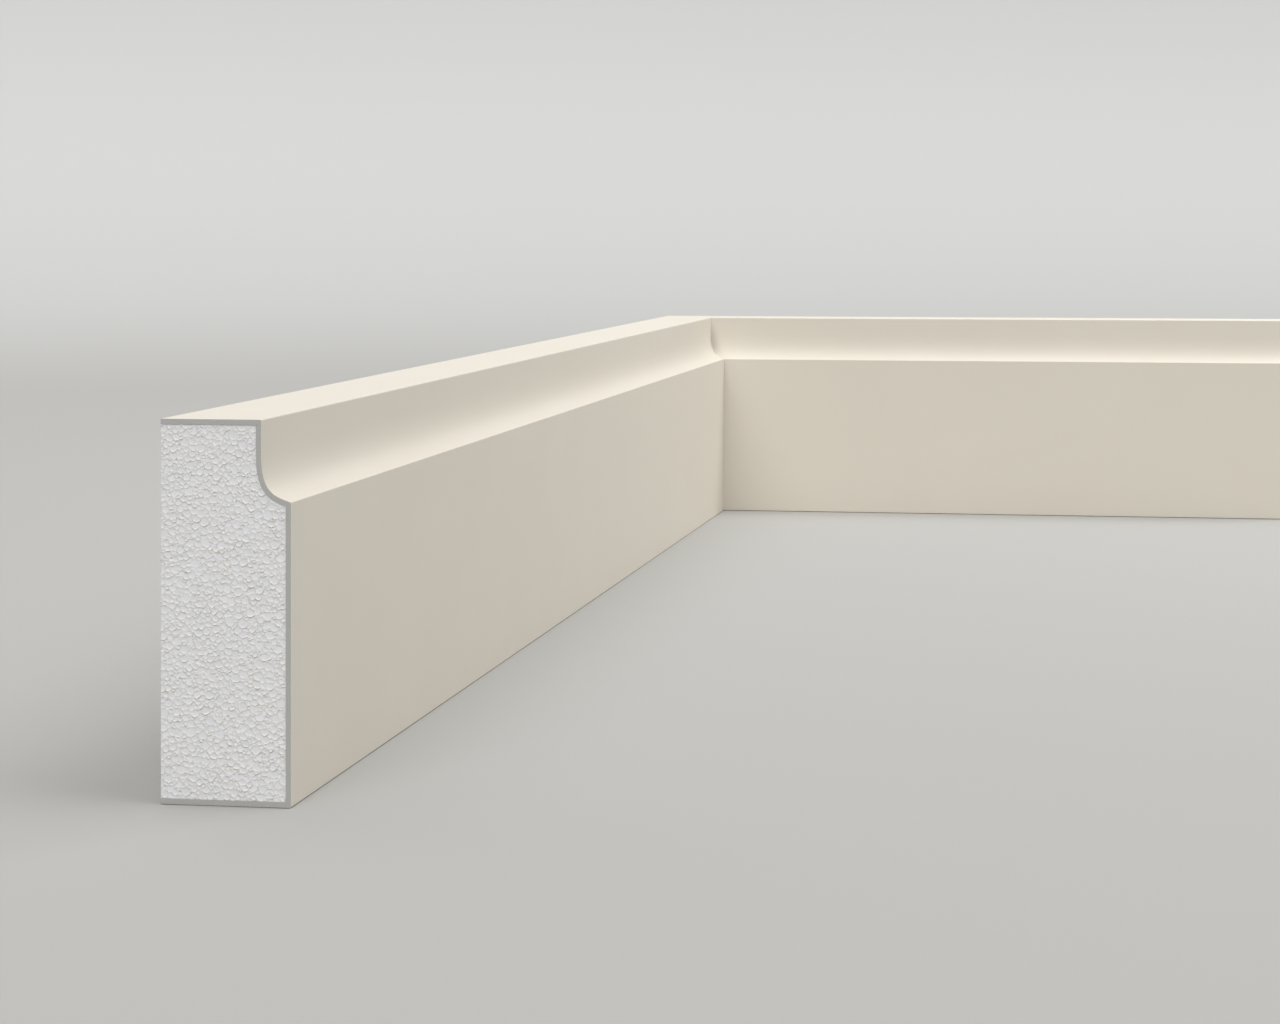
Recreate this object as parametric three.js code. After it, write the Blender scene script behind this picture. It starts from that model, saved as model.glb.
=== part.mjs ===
// A coated polystyrene wall moulding that turns an inside corner.
//
// Two lengths of one section meet at a mitre. Each is a core of expanded polystyrene
// under a thin hard coat. The coat covers the ledge, the upright, the cove, the fascia
// and the underside. The back, which is glued to the wall, is bare core, and so are
// the middles of the square cut ends.
//
// Millimetres, +Z up. The right length runs along +X, the left one along -Y, and the
// wall's corner is at their far crossing. The origin is under the middle of the whole
// moulding, at the height of its underside.

import * as THREE from 'three';

// The section's depths, from the wall outwards
const ledgeDepth = 54;
const coveDepth = 16;
const coatThickness = 2.8;

// The section's heights, from the underside up
const fasciaHeight = 157.5;
const coveHeight = 25.2;
const uprightHeight = 17.3;

// Each length, measured along the wall from the wall's corner to the square cut
const leftLength = 1684;
const rightLength = 660;

// The cove leaves the upright straight down and reaches the fascia's arris at a slope.
// Its curve's handles are shares of the cove's own depth and height.
const coveTopHandle = 0.8;
const coveFootHandle = 0.59;
const coveFootRise = 0.126;
const coveSteps = 20;

const coatColour = 0xe9e2d4;
const coreColour = 0xf4f4f2;

const projection = ledgeDepth + coveDepth;
const height = fasciaHeight + coveHeight + uprightHeight;

const coveTop = fasciaHeight + coveHeight;
const cove = new THREE.CubicBezierCurve(
  new THREE.Vector2(ledgeDepth, coveTop),
  new THREE.Vector2(ledgeDepth, coveTop - coveTopHandle * coveHeight),
  new THREE.Vector2(projection - coveFootHandle * coveDepth, fasciaHeight + coveFootRise * coveHeight),
  new THREE.Vector2(projection, fasciaHeight),
);

// The section's face at a depth below the surface, from the wall along the ledge, down
// the front and back over the underside. x is the distance from the wall, y the height.
function facePath(depth) {
  const front = projection - depth;
  const path = [
    new THREE.Vector2(0, height - depth),
    new THREE.Vector2(ledgeDepth - depth, height - depth),
  ];
  for (let i = 0; i <= coveSteps; i++) {
    const along = cove.getTangent(i / coveSteps);
    const inward = new THREE.Vector2(along.y, -along.x);
    const point = cove.getPoint(i / coveSteps).addScaledVector(inward, depth);
    if (point.x < front) {
      path.push(point);
      continue;
    }
    // The fascia's plane cuts the cove off here, in a sharp arris
    const above = path.at(-1);
    path.push(above.clone().lerp(point, (front - above.x) / (point.x - above.x)));
    break;
  }
  path.push(new THREE.Vector2(front, depth), new THREE.Vector2(0, depth));
  return path;
}

// Where a section's own axes lie on each wall: x out from it, y up, and z level along it
const walls = {
  left: new THREE.Matrix4().makeBasis(
    new THREE.Vector3(1, 0, 0),
    new THREE.Vector3(0, 0, 1),
    new THREE.Vector3(0, -1, 0),
  ),
  right: new THREE.Matrix4().makeBasis(
    new THREE.Vector3(0, -1, 0),
    new THREE.Vector3(0, 0, 1),
    new THREE.Vector3(-1, 0, 0),
  ),
};

// One length of a section, from the wall's corner at z = 0 to z = run, which is negative
// where the length leads against the wall's z. Its end at the corner is cut at 45
// degrees, so there each point lies as far along the wall as it stands out from it.
function mitredLength(section, wall, run) {
  const geometry = new THREE.ExtrudeGeometry(section, {
    depth: Math.abs(run),
    steps: 1,
    bevelEnabled: false,
  });
  geometry.translate(0, 0, Math.min(run, 0));
  const position = geometry.getAttribute('position');
  for (let i = 0; i < position.count; i++) {
    const atCorner = Math.abs(position.getZ(i)) < Math.abs(run) / 2;
    position.setZ(i, atCorner ? Math.sign(run) * position.getX(i) : run);
  }
  geometry.applyMatrix4(wall);
  geometry.computeVertexNormals();
  return geometry;
}

// A core and the coat bonded on it, with the wall's corner at the group's origin
function coatedLength(side, run) {
  const surface = facePath(0);
  const bond = facePath(coatThickness);

  const core = new THREE.Mesh(
    mitredLength(new THREE.Shape(bond), walls[side], run),
    new THREE.MeshStandardMaterial({ color: coreColour, roughness: 0.75, metalness: 0 }),
  );
  core.name = `${side}_core`;

  const coat = new THREE.Mesh(
    mitredLength(new THREE.Shape([...surface, ...bond.toReversed()]), walls[side], run),
    new THREE.MeshStandardMaterial({ color: coatColour, roughness: 0.6, metalness: 0 }),
  );
  coat.name = `${side}_coat`;

  return new THREE.Group().add(core, coat);
}

const moulding = new THREE.Group();
moulding.add(coatedLength('left', leftLength), coatedLength('right', -rightLength));
moulding.position.set(-rightLength / 2, leftLength / 2, 0);

export default moulding;
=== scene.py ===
import math

import bpy
import numpy as np
from mathutils import Matrix, Vector


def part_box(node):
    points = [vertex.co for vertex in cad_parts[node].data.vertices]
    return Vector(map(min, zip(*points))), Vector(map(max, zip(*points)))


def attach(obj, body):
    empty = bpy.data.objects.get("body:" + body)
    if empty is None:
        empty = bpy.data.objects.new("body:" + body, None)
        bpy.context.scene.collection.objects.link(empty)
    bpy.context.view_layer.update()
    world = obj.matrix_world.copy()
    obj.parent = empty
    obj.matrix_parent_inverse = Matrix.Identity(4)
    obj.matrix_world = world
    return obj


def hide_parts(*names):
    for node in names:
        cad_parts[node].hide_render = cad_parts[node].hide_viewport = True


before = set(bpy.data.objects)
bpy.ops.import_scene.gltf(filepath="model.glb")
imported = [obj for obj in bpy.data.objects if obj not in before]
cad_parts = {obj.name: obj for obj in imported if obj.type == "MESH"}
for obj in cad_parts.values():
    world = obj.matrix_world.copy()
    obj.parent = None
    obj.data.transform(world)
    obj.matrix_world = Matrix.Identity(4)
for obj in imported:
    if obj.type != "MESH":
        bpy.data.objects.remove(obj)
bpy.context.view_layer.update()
mm = 0.001  # the script's sizes are millimetres, Blender's are metres
mixA, mixB, mixed = 6, 7, 2  # where a Mix node takes its two colours and gives the result
print("frame loaded:", sorted(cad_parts))


# Small helpers that all the pieces use

def toLinear(hexColour):  # sRGB hex to the linear colour that a shader takes
    channels = [int(hexColour[i:i + 2], 16) / 255 for i in (1, 3, 5)]
    return tuple(c / 12.92 if c <= 0.04045 else ((c + 0.055) / 1.055) ** 2.4
                 for c in channels) + (1.0,)


def addNode(tree, kind, inputs, **settings):  # inputs take a value or another node's socket
    node = tree.nodes.new("ShaderNode" + kind)
    for name, value in settings.items():
        setattr(node, name, value)
    for name, value in inputs.items():
        if isinstance(value, bpy.types.NodeSocket):
            tree.links.new(value, node.inputs[name])
        else:
            node.inputs[name].default_value = value
    return node


def newMaterial(name, **sockets):  # a principled material, with its even values set on the shader
    material = bpy.data.materials.new(name)
    material.use_nodes = True
    shader = material.node_tree.nodes["Principled BSDF"]
    for socket, value in sockets.items():
        shader.inputs[socket].default_value = value
    return material, material.node_tree, shader


def newObject(name, points, faces):
    mesh = bpy.data.meshes.new(name)
    mesh.from_pydata(points, [], faces)
    mesh.update()
    thing = bpy.data.objects.new(name, mesh)
    bpy.context.scene.collection.objects.link(thing)
    return thing


# The camera stands where the photograph's did: level, with the frame shifted down

view = {
    "lens": 85.0,  # mm
    "sensor": 36.0,  # mm wide
    "fromCorner": (505.6, -3190.4, 304.0),  # mm from the wall's corner at floor height
    "turn": 9.54,  # degrees to the left of square
    "horizonRow": 218.4,  # pixel row of the horizon in the picture
    "picture": (1280, 1024),  # pixels
    "farthest": 60,  # metres that the camera sees
}

leftLow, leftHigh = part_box("left_coat")
rightLow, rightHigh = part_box("right_coat")
wallCorner = Vector((leftLow.x, leftHigh.y, 0))

lens = bpy.data.cameras.new("camera")
lens.lens = view["lens"]
lens.sensor_width = view["sensor"]
lens.shift_y = (view["horizonRow"] - view["picture"][1] / 2) / view["picture"][0]
lens.clip_end = view["farthest"]
camera = bpy.data.objects.new("camera", lens)
camera.location = wallCorner + Vector(view["fromCorner"]) * mm
camera.rotation_euler = (math.radians(90), 0, math.radians(view["turn"]))
bpy.context.scene.collection.objects.link(camera)
bpy.context.scene.camera = camera
print("camera placed")


# The section that both lengths share, in mm: x out from the wall, y up

section = {
    "ledgeDepth": 54.0,
    "coveDepth": 16.0,
    "fasciaHeight": 157.5,
    "coveHeight": 25.2,
    "uprightHeight": 17.3,
    "coat": 2.8,  # thickness of the hard coat
    "coveTopHandle": 0.8,  # shares of the cove's height and depth that shape its curve
    "coveFootHandle": 0.59,
    "coveFootRise": 0.126,
    "coveSteps": 36,
    "arris": 0.6,  # radius on the coat's outer edges
    "arrisSteps": 5,
    "arrisHold": 0.4,  # flat strip beside each eased edge, which keeps the faces flat to the eye
    "arrisTurn": 30.0,  # degrees; a corner that turns less is part of the cove's curve
    "sharpAngle": 32.0,  # degrees; an edge that turns more isn't smoothed over
    "tolerance": 1e-6,
}
projection = section["ledgeDepth"] + section["coveDepth"]
height = section["fasciaHeight"] + section["coveHeight"] + section["uprightHeight"]


def coveAt(t):  # point and unit direction of the cove's curve, from its top down
    top = section["fasciaHeight"] + section["coveHeight"]
    handles = np.array([
        (section["ledgeDepth"], top),
        (section["ledgeDepth"], top - section["coveTopHandle"] * section["coveHeight"]),
        (projection - section["coveFootHandle"] * section["coveDepth"],
         section["fasciaHeight"] + section["coveFootRise"] * section["coveHeight"]),
        (projection, section["fasciaHeight"]),
    ])
    s = 1 - t
    point = np.array([s ** 3, 3 * s * s * t, 3 * s * t * t, t ** 3]) @ handles
    slope = np.array([s * s, 2 * s * t, t * t]) @ np.diff(handles, axis=0)
    return point, slope / np.linalg.norm(slope)


def facePath(depth):  # the face's outline at a depth below the surface, from ledge to underside
    front = projection - depth
    path = [np.array((0.0, height - depth)),
            np.array((section["ledgeDepth"] - depth, height - depth))]
    for i in range(section["coveSteps"] + 1):
        point, along = coveAt(i / section["coveSteps"])
        point = point + np.array((along[1], -along[0])) * depth
        if point[0] < front - section["tolerance"]:
            path.append(point)
            continue
        share = (front - path[-1][0]) / (point[0] - path[-1][0])  # the curve ends on the front
        path.append(path[-1] + (point - path[-1]) * share)
        break
    return path + [np.array((front, depth)), np.array((0.0, depth))]


def easedPath(path):  # rounds the outline's corners and leaves its curve as it is
    eased = [path[0]]
    for before, corner, after in zip(path, path[1:], path[2:]):
        inTo = (corner - before) / np.linalg.norm(corner - before)
        outOf = (after - corner) / np.linalg.norm(after - corner)
        turn = math.acos(max(-1, min(1, inTo @ outOf)))
        if turn < math.radians(section["arrisTurn"]):
            eased.append(corner)
            continue
        reach = section["arris"] * math.tan(turn / 2)
        room = 2 * (reach + section["arrisHold"])  # a side shorter than this has no flat strip
        if np.linalg.norm(corner - before) > room:
            eased.append(corner - inTo * (reach + section["arrisHold"]))
        start = corner - inTo * reach
        centre = start + np.array((inTo[1], -inTo[0])) * section["arris"]
        spoke = start - centre
        for i in range(section["arrisSteps"] + 1):
            angle = -turn * i / section["arrisSteps"]  # clockwise, as the path turns
            cosine, sine = math.cos(angle), math.sin(angle)
            eased.append(centre + np.array((spoke[0] * cosine - spoke[1] * sine,
                                            spoke[0] * sine + spoke[1] * cosine)))
        if np.linalg.norm(after - corner) > room:
            eased.append(corner + outOf * (reach + section["arrisHold"]))
    return eased + [path[-1]]


# Each length stands in its own frame: x out from the wall, y up, z level along the wall.
# Its run in metres goes along z, and is negative where the length lies on the other side.

lengths = {
    "left": {"run": leftHigh.y - leftLow.y, "axes": ((1, 0, 0), (0, 0, 1), (0, -1, 0))},
    "right": {"run": rightLow.x - rightHigh.x, "axes": ((0, -1, 0), (0, 0, 1), (-1, 0, 0))},
}


def placeOnWall(thing, side):
    turned = Matrix(lengths[side]["axes"]).transposed().to_4x4()
    thing.matrix_world = Matrix.Translation(wallCorner) @ turned


# Hard coat: a polymer-bound mineral coat drawn on through a die and painted cream.
# To the eye it is a matt, even skin with a fine grain and faint lines along its length.

coatFinish = {
    "cream": "#dbd5c9",
    "shade": "#d8d1c4",  # the slightly thinner, warmer patches
    "ior": 1.49,
    "roughness": 0.62,
    "roughnessSwing": 0.06,  # up and down from there, with the grain
    "patch": 90.0,  # mm across a patch
    "patchDetail": 3.0,  # steps of ever finer noise, here and below
    "grain": 1.3,  # mm; the real grain is about 0.3, drawn coarser so that it shows
    "grainDetail": 4.0,
    "grainRoughness": 0.6,
    "grainDepth": 0.012,
    "line": 1.6,  # mm between the die's lines
    "lineDetail": 2.0,
    "lineLength": 260.0,
    "lineDepth": 0.006,
    "cornerShade": "#c5c0b5",  # painted shade, a dark crescent in the cove of the inner corner
    "cornerShadeWidth": 11.0,  # mm along the right length
    "cornerShadeHeights": (158.0, 170.0, 196.0),  # mm up, where it starts, is widest and ends
}


def masonryPaint():
    f = coatFinish
    material, tree, shader = newMaterial("cream_masonry_paint_die_drawn", IOR=f["ior"])
    place = addNode(tree, "TexCoord", {}).outputs["Object"]
    patches = addNode(tree, "TexNoise", {"Vector": place, "Scale": 1 / (f["patch"] * mm),
                                         "Detail": f["patchDetail"]})
    grain = addNode(tree, "TexNoise", {"Vector": place, "Scale": 1 / (f["grain"] * mm),
                                       "Detail": f["grainDetail"],
                                       "Roughness": f["grainRoughness"]})
    drawn = addNode(tree, "Mapping", {"Vector": place,
                                      "Scale": (1, 1, f["line"] / f["lineLength"])})
    lines = addNode(tree, "TexNoise", {"Vector": drawn.outputs[0],
                                       "Scale": 1 / (f["line"] * mm),
                                       "Detail": f["lineDetail"]})
    colour = addNode(tree, "Mix", {"Factor": patches.outputs["Fac"], mixA: toLinear(f["cream"]),
                                   mixB: toLinear(f["shade"])}, data_type="RGBA")

    # the crescent of painted shade in the right length's cove beside the inner corner's mitre: x +
    # z is 0 at the right length's mitre and grows along it, and it is large in the left length's
    # cove
    axes = addNode(tree, "SeparateXYZ", {"Vector": place})
    along = addNode(tree, "Math", {0: axes.outputs["X"], 1: axes.outputs["Z"]}, operation="ADD")
    away = addNode(tree, "Math", {0: along.outputs[0]}, operation="ABSOLUTE")
    foot, middle, top = (h * mm for h in f["cornerShadeHeights"])
    share = addNode(tree, "MapRange", {"Value": away.outputs[0],
                                       "From Max": f["cornerShadeWidth"] * mm,
                                       "To Min": 1.0, "To Max": 0.0},
                    interpolation_type="SMOOTHSTEP")
    for end in (foot, top):
        fade = addNode(tree, "MapRange", {"Value": axes.outputs["Y"], "From Min": end,
                                          "From Max": middle}, interpolation_type="SMOOTHSTEP")
        share = addNode(tree, "Math", {0: share.outputs[0], 1: fade.outputs[0]},
                        operation="MULTIPLY")
    # the crescent's painted shade, mixed into the cream
    painted = addNode(tree, "Mix", {"Factor": share.outputs[0], mixA: colour.outputs[mixed],
                                    mixB: toLinear(f["cornerShade"])}, data_type="RGBA")

    rough = addNode(tree, "MapRange", {"Value": grain.outputs["Fac"],
                                       "To Min": f["roughness"] - f["roughnessSwing"],
                                       "To Max": f["roughness"] + f["roughnessSwing"]})
    fine = addNode(tree, "Bump", {"Height": grain.outputs["Fac"],
                                  "Distance": f["grainDepth"] * mm, "Strength": 1.0})
    long = addNode(tree, "Bump", {"Height": lines.outputs["Fac"],
                                  "Distance": f["lineDepth"] * mm, "Strength": 1.0,
                                  "Normal": fine.outputs[0]})
    tree.links.new(painted.outputs[mixed], shader.inputs["Base Color"])
    tree.links.new(rough.outputs[0], shader.inputs["Roughness"])
    tree.links.new(long.outputs[0], shader.inputs["Normal"])
    return material


# The coat's own body, sawn through: grey, dull, with fine sand in it

coatBody = {
    "grey": "#b4b3b1",
    "sand": "#a4a39f",
    "ior": 1.5,
    "roughness": 0.85,
    "grit": 0.5,  # mm, coarser than the real 0.2 so that it shows
    "gritDetail": 3.0,
    "gritShare": (0.45, 0.65),  # noise over which the grey turns to sand
    "gritDepth": 0.03,
}


def sawnCoat():
    f = coatBody
    material, tree, shader = newMaterial("mineral_coat_sawn", IOR=f["ior"],
                                         Roughness=f["roughness"])
    place = addNode(tree, "TexCoord", {}).outputs["Object"]
    grit = addNode(tree, "TexNoise", {"Vector": place, "Scale": 1 / (f["grit"] * mm),
                                      "Detail": f["gritDetail"]})
    spots = addNode(tree, "MapRange", {"Value": grit.outputs["Fac"],
                                       "From Min": f["gritShare"][0],
                                       "From Max": f["gritShare"][1]})
    colour = addNode(tree, "Mix", {"Factor": spots.outputs[0], mixA: toLinear(f["grey"]),
                                   mixB: toLinear(f["sand"])}, data_type="RGBA")
    bump = addNode(tree, "Bump", {"Height": grit.outputs["Fac"],
                                  "Distance": f["gritDepth"] * mm, "Strength": 1.0})
    tree.links.new(colour.outputs[mixed], shader.inputs["Base Color"])
    tree.links.new(bump.outputs[0], shader.inputs["Normal"])
    return material


def makeCoat(side, paint, body):
    run = lengths[side]["run"]
    lead = 1 if run > 0 else -1  # the mitre leads this way as it comes out from the wall
    face = easedPath(facePath(0))
    bond = facePath(section["coat"])
    loop = [p * mm for p in face + bond[::-1]]
    points = [(x, y, lead * x) for x, y in loop] + [(x, y, run) for x, y in loop]
    count = len(loop)
    faces = [(i, (i + 1) % count, count + (i + 1) % count, count + i) for i in range(count)]
    faces += [tuple(range(count))[::-1], tuple(range(count, 2 * count))]
    if run > 0:
        faces = [f[::-1] for f in faces]
    coat = newObject(side + "_coat_painted", points, faces)
    coat.data.materials.append(paint)
    coat.data.materials.append(body)
    for i, polygon in enumerate(coat.data.polygons):
        polygon.material_index = 0 if i < len(face) - 1 else 1
        polygon.use_smooth = True
    coat.data.set_sharp_from_angle(angle=math.radians(section["sharpAngle"]))
    placeOnWall(coat, side)
    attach(coat, "root")
    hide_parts(side + "_coat")


# Core: expanded polystyrene, beads fused in steam and cut with a hot wire.
# To the eye the cut is white, with thin curved lips where the round beads overlap.

core = {
    "white": "#e7e7e9",
    "dull": "#e2e2e4",  # the beads that the wire left a little rougher
    "rim": "#fdf6e0",  # painted highlight on the lower inner side of each lip, which faces up into the light from above
    "foldShade": "#77787b",  # painted shade in the folds under each lip, which face down away from the light; on the back, in the seams between the beads
    "ior": 1.4,
    "roughness": 0.7,
    "cell": 0.5,  # mm; the foam's own cells are about 0.15, drawn coarser so that they show
    "cellDetail": 2.0,
    "cellDepth": 0.03,
    # how the beads are packed
    "beads": (4.4, 1.1),  # mm, the largest and the smallest
    "sizes": 20,  # that are tried between them
    "common": 2.1,  # mm; larger beads are rarer
    "rarity": 4,  # power with which their number falls
    "throws": 1.35,  # for each square of a bead's own size, at each size
    "squeeze": 0.88,  # share of their radii that two beads keep between their middles
    "grow": 1.18,  # how far each bead swelled over its neighbours
    "hang": 0.22,  # how much the upper beads tend to overlap the lower ones
    "seed": 11,
    # how the cut stands up
    "recess": 0.5,  # mm from the coat's cut edge to the beads' faces
    "lip": 0.63,  # mm that a bead's edge stands up at most
    "lipIn": 0.38,  # mm over which the lip falls off inwards
    "lipOut": 0.26,  # and outwards
    "lipLeast": 0.3,  # share of the lip that the weakest edges keep
    "lipSwing": 0.35,  # share by which it comes and goes round a bead
    "gradePower": 1.3,  # above 1, strong lips are rarer than weak ones
    "underFrom": 0.15,  # edges that point up more than this show no painted shade in the fold and no painted highlight on the rim
    "dish": 0.06,  # mm that a bead's middle is sunk
    "step": 0.04,  # mm that beads stand above or below each other
    "lean": 0.02,  # typical slope of a bead's face
    "pit": 0.1,  # mm, where no bead reaches
    "warp": 0.07,  # mm that each wave shifts the round outlines
    "warpLength": 5.0,  # mm
    "warpSpread": (0.6, 1.6),  # how much the waves differ in length
    "warpWaves": 8,  # each way
    # the mesh of the cut
    "grid": 0.375,  # mm between the relief's points
    "draw": 0.45,  # mm over which those points are drawn in towards a bead's edge
    "drawShare": 0.65,  # how far they go, short of where faces would fold over
    "hold": 1.0,  # mm beside the cut's outline where they are drawn in less
    "nearest": 7,  # beads that can reach one point
    "blocks": 60,  # parts in which the points are worked out, to save memory
    # the back
    "seam": 0.12,  # share of a bead's width
    # painted shade in the grooves along the seams
    "seamShade": 0.3,
    "seamDepth": 0.15,
}


def packBeads(width, tall, rng):  # bead centres and radii, the large ones first
    centres, radii = np.zeros((0, 2)), np.zeros(0)
    for size in np.linspace(*core["beads"], core["sizes"]):
        share = min(1, (core["common"] / size) ** core["rarity"])
        throws = int(core["throws"] * share * width * tall / size ** 2)
        for spot in rng.uniform((-size, -size), (width + size, tall + size), (throws, 2)):
            apart = np.hypot(*(centres - spot).T)
            if (apart > core["squeeze"] * (radii + size / 2)).all():
                centres = np.vstack([centres, spot])
                radii = np.append(radii, size / 2)
    return centres, radii


def throwBeads(width, tall, rng):  # the beads of one cut, with all that differs between them
    centres, radii = packBeads(width, tall, rng)
    count = len(radii)
    waves = 2 * core["warpWaves"]
    print("beads thrown:", count)
    return {
        "centres": centres,
        "radii": radii,
        "rank": core["hang"] * centres[:, 1] + rng.uniform(0, 2 * radii.mean(), count),
        "offset": rng.uniform(-core["step"], core["step"], count),
        "lean": rng.normal(0, core["lean"], (count, 2)),
        "grade": rng.uniform(0, 1, count) ** core["gradePower"],
        "phase": rng.uniform(0, 2 * math.pi, count),
        "tone": rng.uniform(0, 1, count),
        "waves": 2 * math.pi / core["warpLength"] * rng.uniform(*core["warpSpread"], waves),
        "turns": rng.uniform(0, 2 * math.pi, waves),
        "starts": rng.uniform(0, 2 * math.pi, waves),
    }


def wander(points, beads):  # bends the plane a little, so that no bead is a true circle
    ways = np.array((np.cos(beads["turns"]), np.sin(beads["turns"])))
    swing = np.sin(points @ (beads["waves"] * ways) + beads["starts"])
    half = core["warpWaves"]
    return points + core["warp"] * np.stack([swing[:, :half].sum(1), swing[:, half:].sum(1)], 1)


def reliefAt(points, beads):  # height in mm, shares of painted shade in the fold, painted highlight on the rim and tone, and the way to the edge
    centres, radii, rank = beads["centres"], beads["radii"], beads["rank"]
    reach = 2 * core["beads"][0]
    relief = []
    for block in np.array_split(wander(points, beads), core["blocks"]):
        close = np.flatnonzero((centres[:, 1] > block[:, 1].min() - reach)
                               & (centres[:, 1] < block[:, 1].max() + reach))
        out = block[:, None] - centres[close]
        inside = core["grow"] * radii[close] - np.hypot(out[..., 0], out[..., 1])
        nearest = np.argpartition(-inside, core["nearest"] - 1, axis=1)[:, :core["nearest"]]
        rows = np.arange(len(block))
        inside, out = inside[rows[:, None], nearest], out[rows[:, None], nearest]
        near = close[nearest]

        # the bead of the highest rank shows, and only edges that no higher one covers
        over = np.where(inside > 0, rank[near], -np.inf)
        covered = (inside > 0).any(1)
        owner = np.where(covered, over.argmax(1), inside.argmax(1))
        own = near[rows, owner]
        seen = rank[near] >= over.max(1)[:, None]

        away = out / np.hypot(out[..., 0], out[..., 1])[..., None]
        around = np.arctan2(out[..., 1], out[..., 0]) - beads["phase"][near]
        swing = 1 - core["lipSwing"] + core["lipSwing"] * np.cos(2 * around)
        strong = core["lipLeast"] + (1 - core["lipLeast"]) * beads["grade"][near] * swing
        slope = np.where(inside > 0, core["lipIn"], core["lipOut"])
        lips = np.where(seen, strong * np.exp(-(inside / slope) ** 2), 0)

        depth = np.clip(inside[rows, owner] / radii[own], 0, 1)
        bowl = core["dish"] * (1 - (1 - depth) ** 2)
        pit = np.where(covered, 0, core["pit"])
        tilt = (beads["lean"][own] * out[rows, owner]).sum(1)
        raised = (beads["offset"][own] + tilt + core["lip"] * lips.max(1) - bowl - pit
                  - core["recess"])

        # painted shade in the fold under each bead's lower edge, and a painted highlight on the
        # lip just inside it, where the light from above falls
        under = np.clip(core["underFrom"] - away[..., 1], 0, 1)
        foldShade = np.where(inside < 0, lips * under, 0).max(1)
        rim = np.where(inside > 0, lips * under, 0).max(1)

        edge = np.where(seen, abs(inside), np.inf).argmin(1)
        far = inside[rows, edge]
        drawn = np.where(abs(far) < core["draw"], far * (1 - abs(far) / core["draw"]), 0)
        way = core["drawShare"] * away[rows, edge] * drawn[:, None]
        relief.append(np.column_stack([raised, foldShade, rim, beads["tone"][own], way]))
    return np.concatenate(relief).T


def polystyrene(cut):  # cut: the painted shade in the folds and the painted highlight on the rims come from the relief; else the painted shade in the seams comes from a pattern
    name = "expanded_polystyrene_" + ("hot_wire_cut" if cut else "moulded_back")
    material, tree, shader = newMaterial(name, IOR=core["ior"], Roughness=core["roughness"])
    place = addNode(tree, "TexCoord", {}).outputs["Object"]
    if cut:
        foldShade, rim, tone = (addNode(tree, "Attribute", {}, attribute_name=layer).outputs["Fac"]
                           for layer in ("foldShade", "rim", "tone"))
        cells = addNode(tree, "TexNoise", {"Vector": place, "Scale": 1 / (core["cell"] * mm),
                                           "Detail": core["cellDetail"]})
        bump = addNode(tree, "Bump", {"Height": cells.outputs["Fac"],
                                      "Distance": core["cellDepth"] * mm, "Strength": 1.0})
    else:
        scale = 2 / (sum(core["beads"]) * mm)
        edge = addNode(tree, "TexVoronoi", {"Vector": place, "Scale": scale},
                       feature="DISTANCE_TO_EDGE")
        cell = addNode(tree, "TexVoronoi", {"Vector": place, "Scale": scale})
        tone = addNode(tree, "SeparateColor", {"Color": cell.outputs["Color"]}).outputs[0]
        foldShade = addNode(tree, "MapRange", {"Value": edge.outputs["Distance"],
                                          "From Max": core["seam"],
                                          "To Min": core["seamShade"],
                                          "To Max": 0.0}).outputs[0]
        bump = addNode(tree, "Bump", {"Height": foldShade, "Distance": core["seamDepth"] * mm,
                                      "Strength": 1.0}, invert=True)
    beads = addNode(tree, "Mix", {"Factor": tone, mixA: toLinear(core["white"]),
                                  mixB: toLinear(core["dull"])}, data_type="RGBA")
    # the painted highlight on the lips
    if cut:
        beads = addNode(tree, "Mix", {"Factor": rim, mixA: beads.outputs[mixed],
                                      mixB: toLinear(core["rim"])}, data_type="RGBA")
    # painted shade: in the folds under the lips, or in the seams on the back
    colour = addNode(tree, "Mix", {"Factor": foldShade, mixA: beads.outputs[mixed],
                                   mixB: toLinear(core["foldShade"])}, data_type="RGBA")
    tree.links.new(colour.outputs[mixed], shader.inputs["Base Color"])
    tree.links.new(bump.outputs[0], shader.inputs["Normal"])
    return material


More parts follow.
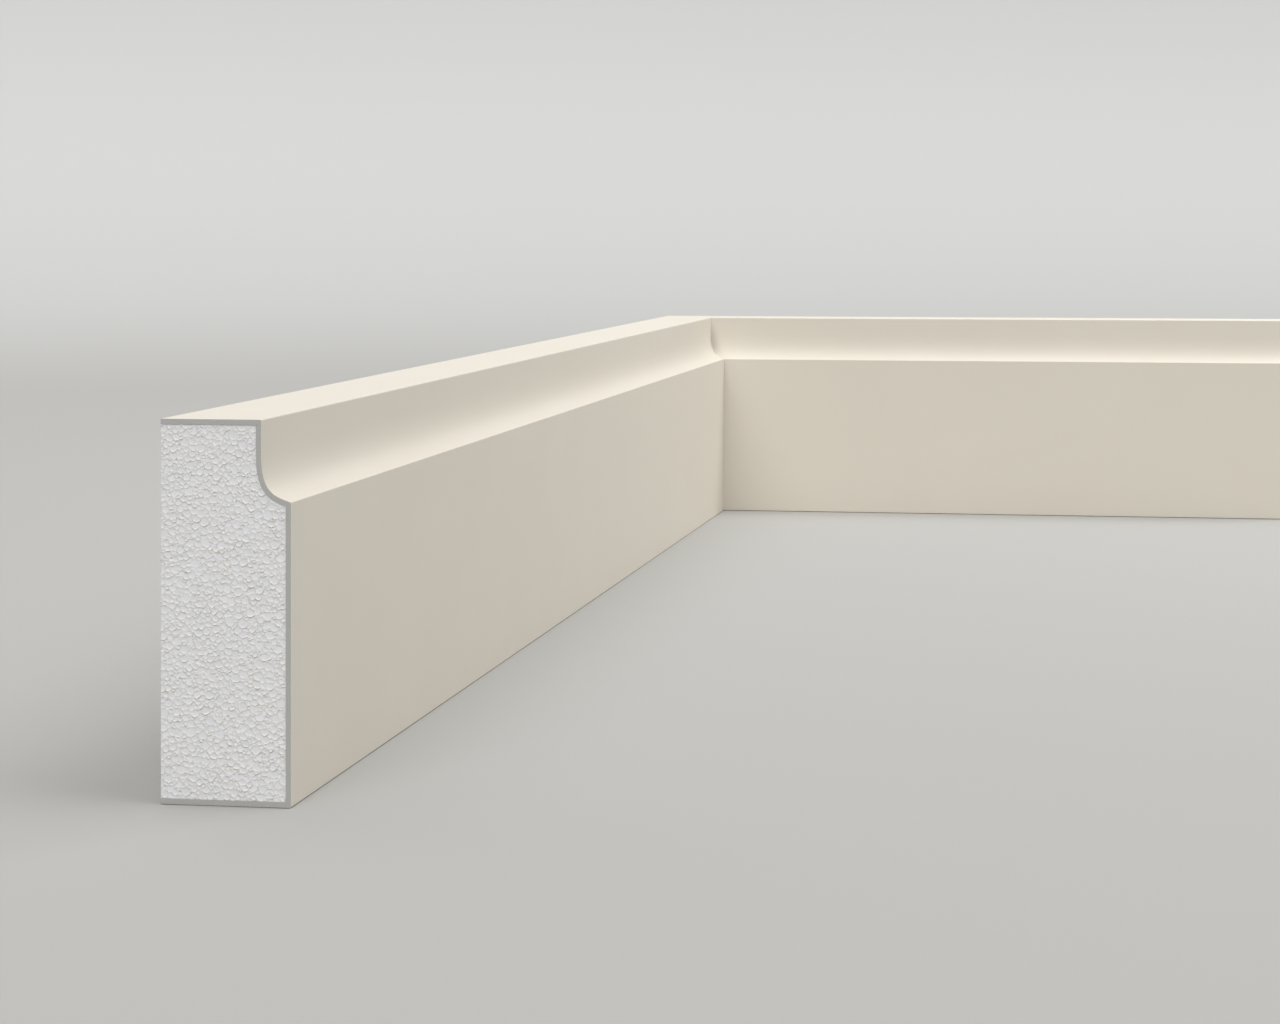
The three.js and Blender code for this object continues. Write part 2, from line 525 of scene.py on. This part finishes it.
def makeCore(side, cutFoam, backFoam, rng):
    run = lengths[side]["run"]
    lead = 1 if run > 0 else -1
    bond = np.array(facePath(section["coat"])[1:-1])  # the front, from the top down
    low, high = section["coat"], height - section["coat"]
    rows = int((high - low) / core["grid"])
    columns = int((projection - section["coat"]) / core["grid"])
    wide = columns + 1  # points in a row

    # the cut end, row by row from the foot up and from the wall out
    ys = np.linspace(low, high, rows + 1)
    fronts = np.interp(ys, bond[::-1, 1], bond[::-1, 0])
    across = np.linspace(0, 1, wide)
    flat = np.stack([fronts[:, None] * across, np.repeat(ys[:, None], wide, 1)], 2).reshape(-1, 2)
    beads = throwBeads(projection, height, rng)
    edges = np.stack([flat[:, 0], np.repeat(fronts, wide) - flat[:, 0],
                      flat[:, 1] - low, high - flat[:, 1]])
    hold = np.clip(edges.min(0) / core["hold"], 0, 1)  # the points on the outline stay there
    flat = flat + hold[:, None] * reliefAt(flat, beads)[4:].T
    raised, foldShades, rimHighlights, tones = reliefAt(flat, beads)[:4]
    points = [(x * mm, y * mm, run + lead * h * mm) for (x, y), h in zip(flat, raised)]
    faces = [(r * wide + c, r * wide + c + 1, (r + 1) * wide + c + 1, (r + 1) * wide + c)
             for r in range(rows) for c in range(columns)]
    cutCount = len(faces)

    # the mitred end, with one point for each row at the back and at the front
    back = len(points)
    front = back + rows + 1
    points += [(0, y * mm, 0) for y in ys]
    points += [(x * mm, y * mm, lead * x * mm) for x, y in zip(fronts, ys)]
    for r in range(rows):
        faces.append((r * wide + columns, front + r, front + r + 1, (r + 1) * wide + columns))
        faces.append((back + r, front + r, front + r + 1, back + r + 1)[::-1])
    faces.append(tuple(range(wide)[::-1]) + (back, front))
    faces.append(tuple(rows * wide + c for c in range(wide)) + (front + rows, back + rows))
    faces.append(tuple(r * wide for r in range(rows + 1))
                 + tuple(back + r for r in range(rows, -1, -1)))
    if run < 0:
        faces = [f[::-1] for f in faces]

    foam = newObject(side + "_core_beads", points, faces)
    foam.data.materials.append(cutFoam)
    foam.data.materials.append(backFoam)
    for i, polygon in enumerate(foam.data.polygons):
        polygon.material_index = 0 if i < cutCount else 1
        polygon.use_smooth = i < cutCount
    # the painted shade, the painted highlight and each bead's own tone, for the shader
    for name, values in (("foldShade", foldShades), ("rim", rimHighlights), ("tone", tones)):
        layer = foam.data.attributes.new(name, "FLOAT", "POINT")
        layer.data.foreach_set("value", np.append(values, np.zeros(len(points) - len(values))))
    placeOnWall(foam, side)
    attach(foam, "root")
    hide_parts(side + "_core")


paint, coatCut = masonryPaint(), sawnCoat()
for side in lengths:
    makeCoat(side, paint, coatCut)
    print("coat made:", side)

foamCut, foamBack = polystyrene(True), polystyrene(False)
for side in lengths:  # each end has beads of its own
    makeCore(side, foamCut, foamBack, np.random.default_rng(core["seed"] + len(side)))
    print("core made:", side)


# Studio: a pale floor that curves up into a backdrop all round, and soft light from above

studio = {
    "floor": "#acaba8",
    "backdrop": "#c2c2c0",
    "fade": (3.0, 25.0),  # metres from the part over which the floor lightens to the backdrop, painted lighter where less light reaches
    "roughness": 0.9,
    "radius": 30000.0,  # mm, well outside every camera
    "rim": 4000.0,  # mm that the floor has risen there
    "ease": 2200.0,  # mm in from the rim at which the rise has fallen to about a third
    "rings": 60,
    "around": 96,
    "drop": 0.3,  # mm under the part, so that their faces don't coincide
    "sky": "#ffffff",
    "skyStrength": 0.28,
    "suns": {  # strength, degrees across, and degrees off the vertical to the viewer and the right
        "overhead": (0.94, 80.0, (0.0, 0.0)),
        "front": (1.36, 40.0, (50.0, 0.0)),
        "right": (1.0, 40.0, (0.0, 30.0)),
        "rear": (0.4, 60.0, (-40.0, -40.0)),
    },
    "sidePlace": (1.25, 1.05, 1.5),  # metres, beyond the corner and to the right
    "sideAim": (-0.26, 0.5, 0.1),
    "sideSize": 0.8,
    "sideStrength": 12.0,
}


def studioPaper():
    material, tree, shader = newMaterial("studio_paper", Roughness=studio["roughness"])
    place = addNode(tree, "TexCoord", {}).outputs["Object"]
    far = addNode(tree, "VectorMath", {0: place}, operation="LENGTH").outputs["Value"]
    near = addNode(tree, "Math", {0: 1.0, 1: far}, operation="DIVIDE")
    fade = addNode(tree, "MapRange", {"Value": near.outputs[0],
                                      "From Min": 1 / studio["fade"][0],
                                      "From Max": 1 / studio["fade"][1]},
                   interpolation_type="SMOOTHSTEP")
    # painted light: the far floor and the backdrop are painted lighter to make up for the light
    # they lack
    tone = addNode(tree, "Mix", {"Factor": fade.outputs[0], mixA: toLinear(studio["floor"]),
                                 mixB: toLinear(studio["backdrop"])}, data_type="RGBA")
    tree.links.new(tone.outputs[mixed], shader.inputs["Base Color"])
    return material


def makeFloor():
    around = studio["around"]
    points = [(0, 0, -studio["drop"] * mm)]
    for radius in np.linspace(0, studio["radius"], studio["rings"] + 1)[1:]:
        rise = studio["rim"] * math.exp((radius - studio["radius"]) / studio["ease"])
        z = rise - studio["drop"]
        for k in range(around):
            angle = 2 * math.pi * k / around
            points.append((radius * mm * math.cos(angle), radius * mm * math.sin(angle), z * mm))
    faces = [(0, 1 + k, 1 + (k + 1) % around) for k in range(around)]
    for ring in range(studio["rings"] - 1):
        start = 1 + ring * around
        for k in range(around):
            n = (k + 1) % around
            faces.append((start + k, start + around + k, start + around + n, start + n))
    floor = newObject("studio_floor", points, faces)
    for polygon in floor.data.polygons:
        polygon.use_smooth = True
    floor.data.materials.append(studioPaper())


def lightStudio():
    world = bpy.data.worlds.new("sky")
    world.use_nodes = True
    background = world.node_tree.nodes["Background"]
    background.inputs["Color"].default_value = toLinear(studio["sky"])
    background.inputs["Strength"].default_value = studio["skyStrength"]
    bpy.context.scene.world = world

    for name, (strength, across, tilt) in studio["suns"].items():
        sun = bpy.data.lights.new(name, "SUN")
        sun.energy = strength
        sun.angle = math.radians(across)
        lamp = bpy.data.objects.new(name, sun)
        lamp.rotation_euler = [math.radians(a) for a in tilt] + [0]
        bpy.context.scene.collection.objects.link(lamp)

    panel = bpy.data.lights.new("side", "AREA")
    panel.size = studio["sideSize"]
    panel.energy = studio["sideStrength"]
    lamp = bpy.data.objects.new("side", panel)
    lamp.location = studio["sidePlace"]
    aim = Vector(studio["sideAim"]) - lamp.location
    lamp.rotation_euler = aim.to_track_quat("-Z", "Y").to_euler()
    lamp.visible_camera = False
    bpy.context.scene.collection.objects.link(lamp)


makeFloor()
lightStudio()
bpy.context.scene.view_settings.view_transform = "Standard"
print("studio lit")
